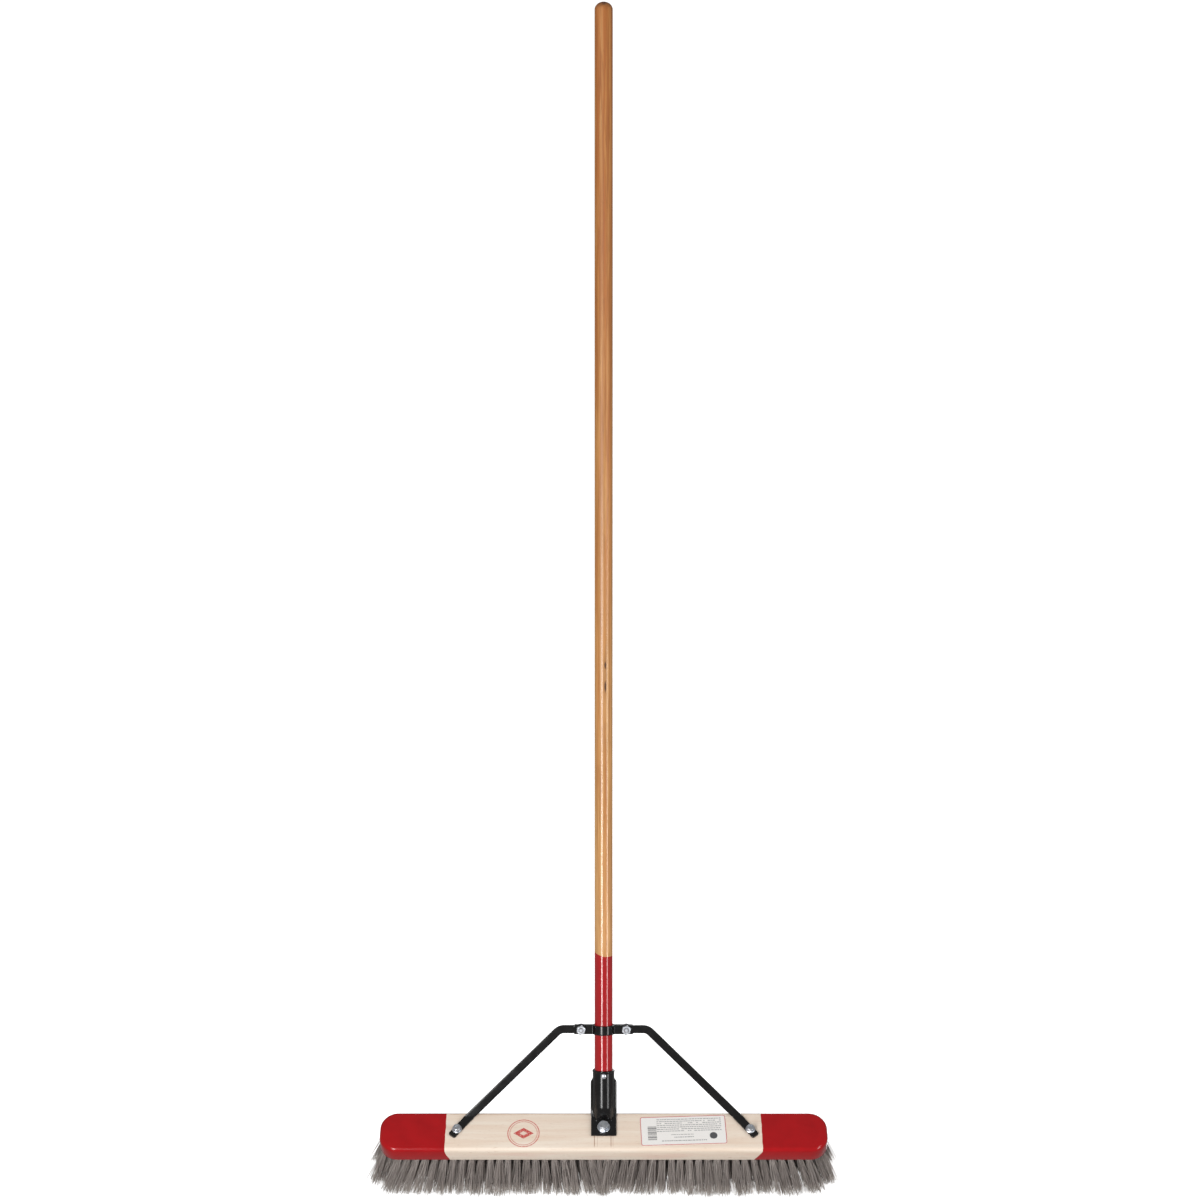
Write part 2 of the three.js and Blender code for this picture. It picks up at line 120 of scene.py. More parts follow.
np.random.seed(24)


# ------------------------------------------------------------------ materials
def srgb(red, green, blue):
    """A colour given as 0 to 255 screen values, in the renderer's linear values."""
    linear = [((c / 255 + 0.055) / 1.055) ** 2.4 if c > 10 else c / 255 / 12.92 for c in (red, green, blue)]
    return (*linear, 1)


class Shader:
    """A node material round one Principled shader. Its methods add nodes and return their outputs."""

    def __init__(self, name, **sockets):
        self.material = bpy.data.materials.new(name)
        self.material.use_nodes = True
        self.tree = self.material.node_tree
        self.tree.nodes.clear()
        output = self.tree.nodes.new("ShaderNodeOutputMaterial")
        self.principled = self.tree.nodes.new("ShaderNodeBsdfPrincipled")
        self.tree.links.new(self.principled.outputs[0], output.inputs["Surface"])
        self.coordinates = self.tree.nodes.new("ShaderNodeTexCoord").outputs["Object"]
        for socket, value in sockets.items():
            self.set(socket.replace("_", " ").title().replace("Ior", "IOR"), value)

    def plug(self, socket, value):
        if isinstance(value, bpy.types.NodeSocket):
            self.tree.links.new(value, socket)
        else:
            socket.default_value = value

    def set(self, socket, value):
        self.plug(self.principled.inputs[socket], value)

    def node(self, kind, *inputs, **settings):
        made = self.tree.nodes.new("ShaderNode" + kind)
        for key, value in settings.items():
            setattr(made, key, value)
        for socket, value in zip(made.inputs, inputs):
            if value is not None:
                self.plug(socket, value)
        return made

    def math(self, operation, *inputs, clamp=False):
        return self.node("Math", *inputs, operation=operation, use_clamp=clamp).outputs[0]

    def stretched(self, x, y, z, source=None):
        """Coordinates scaled along each axis: a noise then varies over 1/x, 1/y and 1/z metres."""
        source = source or self.coordinates
        return self.node("VectorMath", source, (x, y, z), operation="MULTIPLY").outputs[0]

    def noise(self, vector, detail=3.0, roughness=0.5, distortion=0.0):
        made = self.node("TexNoise")
        for name, value in {"Vector": vector, "Scale": 1.0, "Detail": detail,
                            "Roughness": roughness, "Distortion": distortion}.items():
            self.plug(made.inputs[name], value)
        return made.outputs[0]

    def span(self, value, low, high, to_low=0.0, to_high=1.0):
        """Maps low..high to to_low..to_high, with the ends held."""
        made = self.node("MapRange", value, low, high, to_low, to_high)
        made.clamp = True
        return made.outputs[0]

    def ramp(self, factor, stops):
        made = self.node("ValToRGB", factor)
        elements = made.color_ramp.elements
        while len(elements) < len(stops):
            elements.new(0.5)
        for element, (place, colour) in zip(elements, stops):
            element.position = place
            element.color = colour
        return made.outputs[0]

    def mix(self, factor, a, b, blend="MIX"):
        made = self.node("Mix", data_type="RGBA", blend_type=blend)
        self.plug(made.inputs[0], factor)
        self.plug(made.inputs[6], a)
        self.plug(made.inputs[7], b)
        return made.outputs[2]

    def layer(self, below, field, low, high, strength, colour):
        """Lays a colour over another, up to the strength, as the field goes from low to high."""
        return self.mix(self.span(field, low, high, 0.0, strength), below, srgb(*colour))

    def lerp(self, factor, a, b):
        made = self.node("Mix", data_type="FLOAT")
        self.plug(made.inputs[0], factor)
        self.plug(made.inputs[2], a)
        self.plug(made.inputs[3], b)
        return made.outputs[0]

    def axis(self, name, source=None):
        return self.node("SeparateXYZ", source or self.coordinates).outputs["XYZ".index(name)]

    def blob(self, centre, size):
        """1 in the middle of an ellipsoid, falling to 0 at its skin."""
        offset = self.node("VectorMath", self.coordinates, centre, operation="SUBTRACT").outputs[0]
        scaled = self.stretched(*(1 / s for s in size), source=offset)
        distance = self.node("VectorMath", scaled, operation="LENGTH").outputs["Value"]
        return self.span(distance, 0.55, 1.0, 1.0, 0.0)

    def bump(self, height, strength, distance):
        made = self.node("Bump")
        made.inputs["Strength"].default_value = strength
        made.inputs["Distance"].default_value = distance
        self.plug(made.inputs["Height"], height)
        self.set("Normal", made.outputs[0])


RED_PAINT = srgb(172, 15, 21)
RED_DEEP = srgb(161, 13, 19)


def paint_colour(shader):
    """Dipped red enamel, a little uneven in depth."""
    cloud = shader.noise(shader.stretched(40, 40, 40), detail=2)
    return shader.mix(shader.span(cloud, 0.35, 0.7), RED_PAINT, RED_DEEP)


def handle_wood(s, up):
    """The handle's wood: its colour, and the noises of its streaks, its grain and its pores."""
    tone = s.ramp(s.span(up, 0.2, 1.53), [
        (0.00, srgb(215, 164, 108)), (0.16, srgb(208, 157, 97)), (0.38, srgb(200, 143, 79)),
        (0.68, srgb(189, 122, 54)), (1.00, srgb(185, 112, 40)),
    ])
    streaks = s.noise(s.stretched(290, 290, 7), detail=3, distortion=0.4)
    grain = s.noise(s.stretched(620, 620, 20), detail=3, roughness=0.65)
    warmth = s.noise(s.stretched(210, 210, 2.4), detail=2)
    pores = s.noise(s.stretched(2600, 2600, 55), detail=1)
    wood = s.mix(s.span(streaks, 0.42, 0.68, 0.0, 0.42), tone, srgb(186, 124, 70), blend="MULTIPLY")
    wood = s.layer(wood, streaks, 0.5, 0.3, 0.3, (240, 190, 124))
    wood = s.layer(wood, warmth, 0.52, 0.68, 0.34, (206, 118, 60))
    wood = s.layer(wood, grain, 0.52, 0.74, 0.5, (140, 84, 36))
    wood = s.layer(wood, pores, 0.66, 0.74, 0.55, (96, 56, 28))
    return handle_marks(s, up, wood), streaks, grain, pores


def handle_marks(s, up, wood):
    """Adds the dome's end grain and a scar, and two small knots in a browner patch."""
    wood = s.layer(wood, up, HANDLE_TO - 13 * MM, HANDLE_TO - MM, 0.75, (112, 62, 28))
    scar = s.blob((0.6 * MM, -7 * MM, HANDLE_TO - 4.5 * MM), (3.6 * MM, 8 * MM, 6 * MM))
    wood = s.mix(s.math("MULTIPLY", scar, 0.7), wood, srgb(84, 46, 26))
    patch = s.blob((2.0 * MM, -12.4 * MM, 608 * MM), (3.4 * MM, 7 * MM, 40 * MM))
    wood = s.mix(s.math("MULTIPLY", patch, 0.35), wood, srgb(120, 76, 44))
    upper_knot = s.blob((2.2 * MM, -12.4 * MM, 620 * MM), (1.4 * MM, 5 * MM, 6 * MM))
    lower_knot = s.blob((2.2 * MM, -12.4 * MM, 591 * MM), (1.4 * MM, 5 * MM, 9.5 * MM))
    return s.mix(s.math("MAXIMUM", upper_knot, lower_knot), wood, srgb(74, 40, 18))


def handle_dip(s):
    """1 where the handle is painted. It was dipped a little off square, so the edge is tilted."""
    tilt = s.node("VectorMath", s.coordinates, (0.2, -0.325, 1.0), operation="DOT_PRODUCT")
    wobble = s.noise(s.stretched(160, 160, 160), detail=1)
    edge = s.math("ADD", tilt.outputs["Value"], s.span(wobble, 0.3, 0.7, -0.4 * MM, 0.4 * MM))
    return s.span(edge, HANDLE_PAINT, HANDLE_PAINT + 0.4 * MM, 1.0, 0.0)


def handle_material():
    """Clear-lacquered straight-grained hardwood, dipped in red enamel at its lower end."""
    s = Shader("handle_wood", specular_ior_level=0.8)
    up = s.axis("Z")
    wood, streaks, grain, pores = handle_wood(s, up)
    painted = handle_dip(s)
    # The lacquer is worn duller towards the top, where the hands go.
    dull = s.math("ADD", s.span(up, 0.4, 0.98, 0.16, 0.5), s.span(grain, 0.3, 0.7, -0.04, 0.06))
    s.set("Base Color", s.mix(painted, wood, paint_colour(s)))
    s.set("Roughness", s.lerp(painted, dull, 0.11))
    relief = s.lerp(painted, s.math("ADD", grain, pores), s.math("MULTIPLY", streaks, 0.4))
    s.bump(relief, 0.12, 0.25 * MM)
    return s.material


def ring_line(s, distance, radius, width):
    """A thin circle's mask from the distance to its centre."""
    off = s.math("ABSOLUTE", s.math("SUBTRACT", distance, radius))
    return s.span(off, width * 0.35, width * 0.65, 1.0, 0.0)


def block_wood(s, z):
    """The block's wood, with a painted pinkish reflection that darkens patches low on its sides, and the
    noises of its figure and its grain.
    """
    figure = s.noise(s.stretched(5, 90, 70), detail=3, distortion=0.4)
    grain = s.noise(s.stretched(22, 900, 700), detail=3, roughness=0.6)
    flecks = s.noise(s.stretched(120, 1500, 1200), detail=1)
    reflection_noise = s.noise(s.stretched(14, 60, 60), detail=1)
    wood = s.mix(s.span(figure, 0.36, 0.66), srgb(243, 229, 213), srgb(235, 214, 194))
    wood = s.layer(wood, grain, 0.5, 0.76, 0.3, (216, 188, 162))
    wood = s.layer(wood, flecks, 0.66, 0.74, 0.35, (176, 134, 102))
    # Painted reflection: patches low on the sides are tinted darker and pinker.
    on_sides = s.span(z, TOP - 5 * MM, TOP - 9 * MM)
    painted_reflection = s.math("MULTIPLY", s.span(reflection_noise, 0.5, 0.62, 0.0, 0.3), on_sides)
    return s.mix(painted_reflection, wood, srgb(232, 188, 172)), figure, grain


def scribed_lines(s, x, y):
    """Setting-out lines in front of the socket's flange, as a mask."""
    along = s.math("MULTIPLY", s.span(y, -27.5 * MM, -23 * MM), s.span(y, 6 * MM, -4 * MM))
    lines = 0.0
    for place, strength in ((-12.6, 0.85), (9.9, 0.8), (-8.4, 0.25), (12.6, 0.3)):
        across = s.math("ABSOLUTE", s.math("SUBTRACT", x, place * MM))
        line = s.span(across, 0.25 * MM, 0.6 * MM, strength, 0.0)
        lines = s.math("MAXIMUM", s.math("MULTIPLY", line, along), lines)
    return lines


def ink_mark(s, x, y):
    """A plain round ink mark, worn in places, as a mask: two rings round a lozenge."""
    across = s.math("SUBTRACT", x, INK_MARK.x)
    upwards = s.math("SUBTRACT", y, INK_MARK.y)
    squares = [s.math("POWER", s.math("ABSOLUTE", d), 2.0) for d in (across, upwards)]
    distance = s.math("SQRT", s.math("ADD", *squares))
    outer = ring_line(s, distance, 21.3 * MM, 1.5 * MM)
    inner = ring_line(s, distance, 18.6 * MM, 0.9 * MM)
    rings = s.math("MULTIPLY", s.math("MAXIMUM", outer, inner), 0.8)
    narrowed = s.math("MULTIPLY", s.math("ABSOLUTE", across), 0.62)
    from_middle = s.math("ADD", narrowed, s.math("ABSOLUTE", upwards))
    lozenge = s.span(from_middle, 8.4 * MM, 8.9 * MM, 1.0, 0.0)
    hollow = s.span(from_middle, 3.2 * MM, 3.7 * MM, 0.15, 1.0)
    ink = s.math("MAXIMUM", rings, s.math("MULTIPLY", lozenge, hollow))
    worn = s.span(s.noise(s.stretched(420, 900, 900), detail=2), 0.36, 0.5, 0.45, 0.95)
    return s.math("MULTIPLY", ink, worn)


def block_dip(s, x, z):
    """1 where the block is painted. The edge is straight on top and slopes inwards down the sides."""
    depth = s.span(z, TOP - 4 * MM, UNDERSIDE + 2 * MM)
    slope = s.span(x, -0.01, 0.01, 6.0 * MM, 10.5 * MM)
    inward = s.math("MULTIPLY", s.math("POWER", depth, 1.3), slope)
    wobble = s.span(s.noise(s.stretched(70, 70, 70), detail=1), 0.3, 0.7, -0.5 * MM, 0.5 * MM)
    reach = s.math("ADD", s.math("ADD", s.math("ABSOLUTE", x), inward), wobble)
    return s.span(reach, PAINT_SPAN, PAINT_SPAN + 0.4 * MM)


def block_material():
    """Pale lacquered beech with dipped red ends, a worn red ink mark and a few scribed lines."""
    s = Shader("block_wood", specular_ior_level=0.35)
    x, y, z = (s.axis(name) for name in "XYZ")
    wood, figure, grain = block_wood(s, z)
    on_top = s.span(z, TOP - 1.5 * MM, TOP - 0.5 * MM)
    wood = s.mix(s.math("MULTIPLY", scribed_lines(s, x, y), on_top), wood, srgb(150, 96, 62))
    wood = s.mix(s.math("MULTIPLY", ink_mark(s, x, y), on_top), wood, srgb(196, 44, 46))
    painted = block_dip(s, x, z)
    s.set("Base Color", s.mix(painted, wood, paint_colour(s)))
    s.set("Roughness", s.lerp(painted, s.span(grain, 0.3, 0.7, 0.42, 0.56), 0.15))
    s.bump(s.lerp(painted, grain, s.math("MULTIPLY", figure, 0.5)), 0.1, 0.3 * MM)
    return s.material


def black_steel_material():
    """Semi-gloss black enamel over pressed steel, with a faint orange peel and a few pale rubs."""
    s = Shader("black_steel", specular_ior_level=0.5)
    peel = s.noise(s.stretched(700, 700, 700), detail=2)
    patch = s.noise(s.stretched(90, 90, 90), detail=3)
    speck = s.noise(s.stretched(1500, 1500, 1500), detail=1)
    colour = s.mix(s.span(patch, 0.4, 0.7), srgb(9, 8, 8), srgb(18, 17, 17))
    s.set("Base Color", s.layer(colour, speck, 0.74, 0.8, 0.3, (110, 106, 100)))
    s.set("Roughness", s.span(patch, 0.3, 0.7, 0.15, 0.22))
    s.bump(peel, 0.12, 0.15 * MM)
    return s.material


def zinc_material():
    """Bright zinc plate, slightly mottled."""
    s = Shader("zinc_steel", metallic=1.0)
    mottle = s.noise(s.stretched(600, 600, 600), detail=3)
    cloud = s.noise(s.stretched(180, 180, 180), detail=2)
    s.set("Base Color", s.mix(s.span(cloud, 0.35, 0.7), srgb(228, 231, 236), srgb(192, 197, 205)))
    s.set("Roughness", s.span(mottle, 0.3, 0.7, 0.26, 0.44))
    s.bump(mottle, 0.1, 0.1 * MM)
    return s.material


def paper_material(name, colour, roughness=0.45):
    """Coated label stock, or ink printed on it."""
    s = Shader(name)
    fibre = s.noise(s.stretched(900, 900, 900), detail=3)
    shade = tuple(c * 0.93 for c in colour[:3]) + (1,)
    s.set("Base Color", s.mix(s.span(fibre, 0.3, 0.7), colour, shade))
    s.set("Roughness", s.span(fibre, 0.3, 0.7, roughness, roughness + 0.1))
    s.bump(fibre, 0.05, 0.05 * MM)
    return s.material


def bristle_material():
    """Grey flagged fibre. Each fibre has its own tint, and the split tips are paler."""
    s = Shader("bristle_fibre", sheen_weight=0.15, sheen_roughness=0.5)
    tint = s.node("Attribute", attribute_name="tint").outputs["Fac"]
    body = s.ramp(tint, [
        (0.00, srgb(128, 118, 113)), (0.45, srgb(164, 153, 147)),
        (0.80, srgb(186, 176, 170)), (1.00, srgb(210, 201, 194)),
    ])
    z = s.axis("Z")
    grime = s.noise(s.stretched(60, 60, 25), detail=2)
    body = s.layer(body, grime, 0.45, 0.7, 0.3, (122, 110, 102))
    s.set("Base Color", s.layer(body, z, 28 * MM, MM, 0.9, (228, 217, 206)))
    s.set("Roughness", s.span(grime, 0.3, 0.7, 0.45, 0.6))
    return s.material


# ------------------------------------------------------------------ mesh tools
def placed(name, data):
    """A new object in the scene for a mesh, a light or a camera."""
    obj = bpy.data.objects.new(name, data)
    bpy.context.scene.collection.objects.link(obj)
    return obj


def mesh_of(name, part):
    """A mesh from a part, which is a pair of vertices and faces."""
    verts, faces = part
    mesh = bpy.data.meshes.new(name)
    mesh.from_pydata([tuple(v) for v in verts], [], faces)
    return mesh


def stand_in(name, mesh, nodes, matrix=None):
    """Places a mesh that rides with the broom and stands for the CAD nodes, if any are named."""
    obj = placed(name, mesh)
    if matrix is not None:
        obj.matrix_world = matrix
    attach(obj, "root")
    if nodes:
        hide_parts(*nodes)


def piece(name, part, material, nodes, matrix=None, sharp=35):
    """Makes a stand-in from a part. Edges sharper than so many degrees stay crisp."""
    mesh = mesh_of(name, part)
    mesh.validate()
    mesh.shade_smooth()
    mesh.set_sharp_from_angle(angle=math.radians(sharp))
    mesh.materials.append(MATERIALS[material])
    stand_in(name, mesh, nodes, matrix)


def loft(rings):
    """Vertices and faces of a closed skin over rings of points, each with the same number of points."""
    count = len(rings[0])
    verts = [p for ring in rings for p in ring]
    faces = []
    for r in range(len(rings) - 1):
        for i in range(count):
            a = r * count + i
            b = r * count + (i + 1) % count
            faces.append((a, b, b + count, a + count))
    faces.append(tuple(reversed(range(count))))
    faces.append(tuple(range(len(verts) - count, len(verts))))
    return verts, faces


def turned(profile, segments=48):
    """A body turned about Z. The profile is a list of (radius, z), and may start and end on the axis."""
    verts, faces, rings = [], [], []
    for radius, z in profile:
        if radius < 1e-9:
            rings.append([len(verts)])
            verts.append(Vector((0, 0, z)))
            continue
        rings.append(list(range(len(verts), len(verts) + segments)))
        for i in range(segments):
            angle = 2 * math.pi * i / segments
            verts.append(Vector((radius * math.cos(angle), radius * math.sin(angle), z)))
    for low, high in zip(rings, rings[1:]):
        for i in range(segments):
            a, b = low[i % len(low)], low[(i + 1) % len(low)]
            c, d = high[(i + 1) % len(high)], high[i % len(high)]
            faces.append(tuple(dict.fromkeys((a, b, c, d))))
    if len(rings[0]) > 1:
        first, last = rings[0], rings[-1]
        for i in range(segments):
            j = (i + 1) % segments
            faces.append((last[i], last[j], first[j], first[i]))
    return verts, [f for f in faces if len(f) > 2]


def cylinder(radius, low, high, segments=48):
    return turned([(0, low), (radius, low), (radius, high), (0, high)], segments)


def arc(centre, radius, start, end, steps):
    """Points on a circle, in degrees, as (x, y) pairs."""
    angles = [math.radians(start + (end - start) * i / steps) for i in range(steps + 1)]
    return [(centre[0] + radius * math.cos(a), centre[1] + radius * math.sin(a)) for a in angles]


def rounded_rectangle(half_x, half_y, corner, steps, inset=0.0):
    """Outline of a rectangle with round corners, drawn in by the inset, as (x, y) pairs."""
    points = []
    for quarter, (sx, sy) in enumerate(QUARTERS):
        centre = (sx * (half_x - corner), sy * (half_y - corner))
        points += arc(centre, corner - inset, 90 * quarter, 90 * quarter + 90, steps)
    return points


def box_part(low, high):
    corners = [Vector((x, y, z)) for z in (low[2], high[2])
               for x, y in ((low[0], low[1]), (high[0], low[1]), (high[0], high[1]), (low[0], high[1]))]
    return loft([corners[:4], corners[4:]])


def hull_part(points):
    """The convex hull of some points."""
    made = bmesh.new()
    for p in points:
        made.verts.new(p)
    result = bmesh.ops.convex_hull(made, input=made.verts)
    left_over = result["geom_interior"] + result["geom_unused"]
    unused = {e for e in left_over if isinstance(e, bmesh.types.BMVert)}
    bmesh.ops.delete(made, geom=list(unused), context="VERTS")
    made.verts.index_update()
    part = [v.co.copy() for v in made.verts], [tuple(v.index for v in f.verts) for f in made.faces]
    made.free()
    return part


def merged(*parts):
    """Joins (vertices, faces) pairs into one pair."""
    verts, faces = [], []
    for part_verts, part_faces in parts:
        start = len(verts)
        verts += part_verts
        faces += [tuple(i + start for i in face) for face in part_faces]
    return verts, faces


def moved(part, matrix):
    verts, faces = part
    return [matrix @ Vector(v) for v in verts], faces


def shift(x, y, z):
    return Matrix.Translation((x, y, z))


def scratch_object(part):
    return placed("scratch", mesh_of("scratch", part))


def carved(part, steps):
    """Runs modifiers on a part and returns the result. Each step is (type, settings), and a
    part given as a setting becomes the other object of a boolean."""
    target = scratch_object(part)
    helpers = []
    for kind, settings in steps:
        modifier = target.modifiers.new(kind.lower(), kind)
        for key, value in settings.items():
            if key == "object":
                value = scratch_object(value)
                helpers.append(value)
            setattr(modifier, key, value)
    evaluated = target.evaluated_get(bpy.context.evaluated_depsgraph_get())
    mesh = evaluated.to_mesh()
    result = [v.co.copy() for v in mesh.vertices], [tuple(p.vertices) for p in mesh.polygons]
    evaluated.to_mesh_clear()
    for obj in [target, *helpers]:
        mesh = obj.data
        bpy.data.objects.remove(obj)
        bpy.data.meshes.remove(mesh)
    return result


def cut(part, *tools):
    """Takes each tool's volume out of a part."""
    settings = {"operation": "DIFFERENCE", "solver": "EXACT"}
    return carved(part, [("BOOLEAN", {**settings, "object": tool}) for tool in tools])


def fused(parts, voxel, rounds):
    """Joins overlapping parts into one skin and melts their edges together."""
    return carved(merged(*parts), [
        ("REMESH", {"mode": "VOXEL", "voxel_size": voxel}),
        ("SMOOTH", {"factor": 0.5, "iterations": rounds}),
    ])


# ------------------------------------------------------------------ handle
def handle():
    chamfer = 1.2 * MM
    shoulder = HANDLE_TO - HANDLE_DOME
    lengths = 40
    profile = [(0, HANDLE_FROM), (HANDLE_RADIUS - chamfer, HANDLE_FROM)]
    profile.append((HANDLE_RADIUS, HANDLE_FROM + chamfer))
    for i in range(1, lengths):
        profile.append((HANDLE_RADIUS, HANDLE_FROM + (shoulder - HANDLE_FROM) * i / lengths))
    dome = arc((0, 0), 1, 0, 90, 14)
    profile += [(HANDLE_RADIUS * c, shoulder + HANDLE_DOME * s) for c, s in dome[:-1]]
    profile.append((0, HANDLE_TO))
    piece("broom_handle", turned(profile, 72), "handle", ["handle"], STEM, sharp=60)


# ------------------------------------------------------------------ block
def block():
    roundover = 5 * MM
    chamfer = 1.2 * MM
    levels = [(chamfer, UNDERSIDE), (chamfer * 0.3, UNDERSIDE + chamfer * 0.3), (0, UNDERSIDE + chamfer)]
    for across, up in arc((0, 0), roundover, 0, 90, 9):
        levels.append((roundover - across, TOP - roundover + up))
    rings = []
    for inset, z in levels:
        outline = rounded_rectangle(BLOCK_HIGH.x, BLOCK_HIGH.y, BLOCK_CORNER, 16, inset)
        rings.append([Vector((x, y, z)) for x, y in outline])
    counterbore = moved(cylinder(COUNTERBORE, -MM, COUNTERBORE), shift(0, SOCKET_BOLT_Y, UNDERSIDE))
    piece("wooden_block", cut(loft(rings), counterbore), "block", ["broom_block"], sharp=50)


# ------------------------------------------------------------------ socket
def socket_wings():
    """The pinched edges of the pressing, at both sides of the tube."""
    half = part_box("socket")[1].x + 0.9 * MM  # smoothing draws them in again
    right = [(half, SHEET), (half, SOCKET_SHOULDER - 3 * MM), (SOCKET_RADIUS, SOCKET_SHOULDER + MM)]
    left = [(-x, z) for x, z in reversed(right)]
    outline = left[-1:] + right + left[:-1]
    rings = [[Vector((x, y, z)) for x, z in outline] for y in (SHEET / 2, -SHEET / 2)]
    return moved(loft(rings), STEM)


def socket_tube():
    """The tube round the handle, with a small flare at its rim."""
    flare = 0.8 * MM
    profile = [(0, HANDLE_FROM), (SOCKET_RADIUS, HANDLE_FROM), (SOCKET_RADIUS, SOCKET_RIM - 2.4 * MM)]
    profile += [(SOCKET_RADIUS + flare, SOCKET_RIM - 1.6 * MM), (SOCKET_RADIUS + flare, SOCKET_RIM)]
    return moved(turned(profile + [(0, SOCKET_RIM)], 96), STEM)


def socket_root():
    """The metal that runs from the front of the tube down to the flange, behind the bolt."""
    base = TOP + FIT
    points = [Vector((x, y, base + MM)) for x in (-11 * MM, 11 * MM)
              for y in (12.6 * MM, FLANGE_BACK - MM)]
    for height in (HANDLE_FROM, 34 * MM):
        points += [STEM @ Vector((x, y, height)) for x, y in arc((0, 0), SOCKET_RADIUS, 185, 355, 20)]
    return hull_part(points)


def socket_pressing():
    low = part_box("socket")[0]
    base = TOP + FIT
    flange = box_part((low.x, low.y, base), (-low.x, FLANGE_BACK, base + SHEET))
    pressed = fused([socket_wings(), socket_tube(), socket_root()], 0.55 * MM, 22)
    solid = fused([pressed, flange], 0.5 * MM, 14)
    bore = moved(cylinder(SOCKET_BORE, HANDLE_FROM - FIT, SOCKET_RIM + 5 * MM, 96), STEM)
    piece("socket_pressing", cut(solid, bore), "steel", ["socket"], sharp=50)


# ------------------------------------------------------------------ brace
def bar_section(width, thickness, radius):
    """Outline of a flat bar with rounded edges, as (sideways, outwards) pairs."""
    half, thick = width / 2, thickness / 2
    points = []
    for quarter, (sx, sy) in enumerate(QUARTERS):
        centre = (sx * (half - radius), sy * (thick - radius))
        points += arc(centre, radius, 90 * quarter, 90 * quarter + 90, 3)
        if quarter % 2 == 0:
            points += [(half * across * sy, thick * sy) for across in (0.6, 0.2, -0.2, -0.6)]
    return points


def fold(flat, outwards):
    """Carries a point of the arm's flat blank onto the arm: up the handle's plane, round the knee's
    fold and onto the block. flat is (x, height above the knee), outwards is towards the front."""
    radius = 5 * MM
    turn = math.pi / 2 - LEAN
    knee = Vector((0, STEM_FOOT.y, TOP)) + UP_HANDLE * ((FIT + SHEET / 2) / math.cos(LEAN))
    half_arc = radius * turn / 2
    tangent = radius * math.tan(turn / 2)
    x, height = flat
    if height > half_arc:
        place = knee + UP_HANDLE * (height - half_arc + tangent)
        return Vector((x, place.y, place.z)) + TO_FRONT * outwards
    if height < -half_arc:
        place = knee + Vector((0, -1, 0)) * (-height - half_arc + tangent)
        return Vector((x, place.y, place.z + outwards))
    centre = knee + Vector((0, -1, 0)) * tangent + Vector((0, 0, radius))
    angle = (height + half_arc) / radius
    spoke = Vector((0, math.sin(angle), -math.cos(angle)))
    return Vector((x, centre.y, centre.z)) + spoke * (radius - outwards)


def slanted(heading, from_fold):
    """The angle of a section across the bar, and how far it is swung to lie along the fold."""
    share = max(0.0, 1 - from_fold / (12 * MM))
    return heading + (math.pi / 2 - heading) * share, share


def arm_blank():
    """Stations along the arm's flat blank: (centre, heading, slant, half width). The slant is the
    angle of the section across the bar: square to it, except near the fold."""
    rise = CLAMP_AT - (FIT + SHEET / 2) / math.cos(LEAN)
    slope = math.atan2(rise, ARM_KNEE - ARM_ELBOW)
    tangent = ARM_BEND * math.tan(slope / 2)
    half = ARM_WIDTH / 2
    level = ARM_ELBOW - tangent - ARM_INNER
    stations = [(Vector((ARM_INNER + level * i / 8, rise)), 0.0, 0.0, half) for i in range(8)]
    for i in range(13):
        angle = slope * i / 12
        bend = Vector((math.sin(angle), math.cos(angle) - 1)) * ARM_BEND
        stations.append((Vector((ARM_ELBOW - tangent, rise)) + bend, angle, angle, half))
    start = stations[-1][0]
    knee = Vector((ARM_KNEE, 0))
    for i in range(1, 70):
        place = start + (knee - start) * (i / 70)
        slant, _ = slanted(slope, (knee - place).length)
        stations.append((place, slope, slant, half))
    return stations + foot_stations(knee, half)


def foot_stations(knee, half):
    """The part of the blank that lies on the block, with its rounded end."""
    foot = Vector((FOOT_END.x, FOOT_END.y - fold_line_y())) - knee
    heading = math.atan2(-foot.y, foot.x)
    along = foot.normalized()
    straight = foot.length - ARM_CORNER
    stations = []
    for i in range(31):
        distance = straight * i / 30
        slant, share = slanted(heading, distance)
        stations.append((knee + along * distance, heading, slant, half * (1 + 0.08 * share)))
    for c, s in arc((0, 0), ARM_CORNER, 0, 80, 6)[1:]:
        stations.append((knee + along * (straight + s), heading, heading, half - ARM_CORNER + c))
    return stations


def fold_line_y():
    """Where the fold between the arm's leg and its foot crosses the block."""
    return STEM_FOOT.y + (FIT + SHEET / 2) * math.tan(LEAN)


def arm_rings():
    section = bar_section(ARM_WIDTH, SHEET, 0.55 * MM)
    rings = []
    for centre, heading, slant, half in arm_blank():
        sideways = Vector((math.sin(slant), math.cos(slant)))
        scale = half / (ARM_WIDTH / 2) / math.cos(slant - heading)
        rings.append([fold(centre + sideways * (across * scale), outwards) for across, outwards in section])
    return rings


def mirrored(part, side):
    verts, faces = part
    if side > 0:
        return verts, faces
    return [Vector((-v.x, v.y, v.z)) for v in verts], [tuple(reversed(face)) for face in faces]


def brace_arm(name, side):
    bar = mirrored(loft(arm_rings()), side)
    piece(f"brace_bar_{name}", bar, "steel", [f"brace_arm_{name}"])


